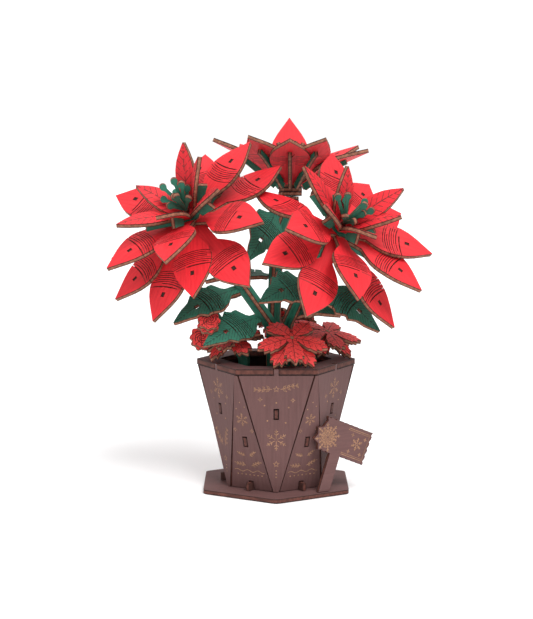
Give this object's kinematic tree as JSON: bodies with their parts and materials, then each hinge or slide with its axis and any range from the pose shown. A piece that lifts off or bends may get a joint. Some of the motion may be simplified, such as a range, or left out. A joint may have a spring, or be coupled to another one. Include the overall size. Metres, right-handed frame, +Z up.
{
  "type": "wooden poinsettia model in pot",
  "caption": "Model of a potted poinsettia built from cut plywood: large red flower heads, green leaves and small flowers in a faceted hexagonal pot with a tag.",
  "frame": {"origin": "on the table under the pot's axis, at the middle of the base plate's underside", "axes": "+Z up along the pot's axis, -Y towards the front, where one flat of the rim faces"},
  "size_m": [0.1535, 0.1332, 0.1782],
  "materials": {
    "base_plate": "matte dark brown stain with fine engraved lines, charred edges",
    "rim": "matte dark brown stain with fine engraved lines, charred edges",
    "soil_plate": "dark brown stained plywood",
    "tag": "matte dark brown stain with fine engraved lines, charred edges",
    "panel_hanging_1": "matte dark brown stain with fine engraved lines, charred edges",
    "rib_hanging_1": "dark brown stained plywood",
    "panel_hanging_2": "matte dark brown stain with fine engraved lines, charred edges",
    "rib_hanging_2": "dark brown stained plywood",
    "panel_hanging_3": "matte dark brown stain with fine engraved lines, charred edges",
    "rib_hanging_3": "dark brown stained plywood",
    "panel_hanging_4": "matte dark brown stain with fine engraved lines, charred edges",
    "rib_hanging_4": "dark brown stained plywood",
    "panel_hanging_5": "matte dark brown stain with fine engraved lines, charred edges",
    "rib_hanging_5": "dark brown stained plywood",
    "panel_hanging_6": "matte dark brown stain with fine engraved lines, charred edges",
    "rib_hanging_6": "dark brown stained plywood",
    "panel_standing_1": "matte dark brown stain with fine engraved lines, charred edges",
    "rib_standing_1": "dark brown stained plywood",
    "panel_standing_2": "matte dark brown stain with fine engraved lines, charred edges",
    "rib_standing_2": "dark brown stained plywood",
    "panel_standing_3": "matte dark brown stain with fine engraved lines, charred edges",
    "rib_standing_3": "dark brown stained plywood",
    "panel_standing_4": "matte dark brown stain with fine engraved lines, charred edges",
    "rib_standing_4": "dark brown stained plywood",
    "panel_standing_5": "matte dark brown stain with fine engraved lines, charred edges",
    "rib_standing_5": "dark brown stained plywood",
    "panel_standing_6": "matte dark brown stain with fine engraved lines, charred edges",
    "rib_standing_6": "dark brown stained plywood",
    "petals_left": "matte red paint on the faces, charred brown laser-cut edges",
    "inner_petals_left": "matte red paint on the faces, charred brown laser-cut edges",
    "stamens_left": "matte green paint on the faces, charred brown laser-cut edges",
    "stem_left": "matte green paint on the faces, charred brown laser-cut edges",
    "petals_right": "matte red paint on the faces, charred brown laser-cut edges",
    "inner_petals_right": "matte red paint on the faces, charred brown laser-cut edges",
    "stamens_right": "matte green paint on the faces, charred brown laser-cut edges",
    "stem_right": "matte green paint on the faces, charred brown laser-cut edges",
    "petals_back": "matte red paint on the faces, charred brown laser-cut edges",
    "inner_petals_back": "matte red paint on the faces, charred brown laser-cut edges",
    "stamens_back": "matte green paint on the faces, charred brown laser-cut edges",
    "stem_back": "matte green paint on the faces, charred brown laser-cut edges",
    "leaf_left_front": "matte green paint on the faces, charred brown laser-cut edges",
    "leaf_left_back": "matte green paint on the faces, charred brown laser-cut edges",
    "leaf_left_low": "matte green paint on the faces, charred brown laser-cut edges",
    "leaf_centre": "matte green paint on the faces, charred brown laser-cut edges",
    "leaf_right_low": "matte green paint on the faces, charred brown laser-cut edges",
    "leaf_right_front": "matte green paint on the faces, charred brown laser-cut edges",
    "leaf_right_back": "matte green paint on the faces, charred brown laser-cut edges",
    "leaf_back_left": "matte green paint on the faces, charred brown laser-cut edges",
    "leaf_back_low": "matte green paint on the faces, charred brown laser-cut edges",
    "small_flower_front": "matte red paint on the faces, charred brown laser-cut edges",
    "small_flower_front_post": "matte green paint on the faces, charred brown laser-cut edges",
    "small_flower_left": "matte red paint on the faces, charred brown laser-cut edges",
    "small_flower_left_post": "matte green paint on the faces, charred brown laser-cut edges",
    "small_flower_right": "matte red paint on the faces, charred brown laser-cut edges",
    "small_flower_right_post": "matte green paint on the faces, charred brown laser-cut edges",
    "small_flower_back": "matte red paint on the faces, charred brown laser-cut edges",
    "small_flower_back_post": "matte green paint on the faces, charred brown laser-cut edges",
    "bud_front": "matte red paint on the faces, charred brown laser-cut edges",
    "bud_back": "matte red paint on the faces, charred brown laser-cut edges",
    "bud_back_post": "matte green paint on the faces, charred brown laser-cut edges"
  },
  "bodies": {
    "root": {"base_plate": "base_plate", "rim": "rim", "soil_plate": "soil_plate", "tag": "tag", "panel_hanging_1": "panel_hanging_1", "rib_hanging_1": "rib_hanging_1", "panel_hanging_2": "panel_hanging_2", "rib_hanging_2": "rib_hanging_2", "panel_hanging_3": "panel_hanging_3", "rib_hanging_3": "rib_hanging_3", "panel_hanging_4": "panel_hanging_4", "rib_hanging_4": "rib_hanging_4", "panel_hanging_5": "panel_hanging_5", "rib_hanging_5": "rib_hanging_5", "panel_hanging_6": "panel_hanging_6", "rib_hanging_6": "rib_hanging_6", "panel_standing_1": "panel_standing_1", "rib_standing_1": "rib_standing_1", "panel_standing_2": "panel_standing_2", "rib_standing_2": "rib_standing_2", "panel_standing_3": "panel_standing_3", "rib_standing_3": "rib_standing_3", "panel_standing_4": "panel_standing_4", "rib_standing_4": "rib_standing_4", "panel_standing_5": "panel_standing_5", "rib_standing_5": "rib_standing_5", "panel_standing_6": "panel_standing_6", "rib_standing_6": "rib_standing_6", "petals_left": "petals_left", "inner_petals_left": "inner_petals_left", "stamens_left": "stamens_left", "stem_left": "stem_left", "petals_right": "petals_right", "inner_petals_right": "inner_petals_right", "stamens_right": "stamens_right", "stem_right": "stem_right", "petals_back": "petals_back", "inner_petals_back": "inner_petals_back", "stamens_back": "stamens_back", "stem_back": "stem_back", "leaf_left_front": "leaf_left_front", "leaf_left_back": "leaf_left_back", "leaf_left_low": "leaf_left_low", "leaf_centre": "leaf_centre", "leaf_right_low": "leaf_right_low", "leaf_right_front": "leaf_right_front", "leaf_right_back": "leaf_right_back", "leaf_back_left": "leaf_back_left", "leaf_back_low": "leaf_back_low", "small_flower_front": "small_flower_front", "small_flower_front_post": "small_flower_front_post", "small_flower_left": "small_flower_left", "small_flower_left_post": "small_flower_left_post", "small_flower_right": "small_flower_right", "small_flower_right_post": "small_flower_right_post", "small_flower_back": "small_flower_back", "small_flower_back_post": "small_flower_back_post", "bud_front": "bud_front", "bud_back": "bud_back", "bud_back_post": "bud_back_post"}
  },
  "joints": []
}
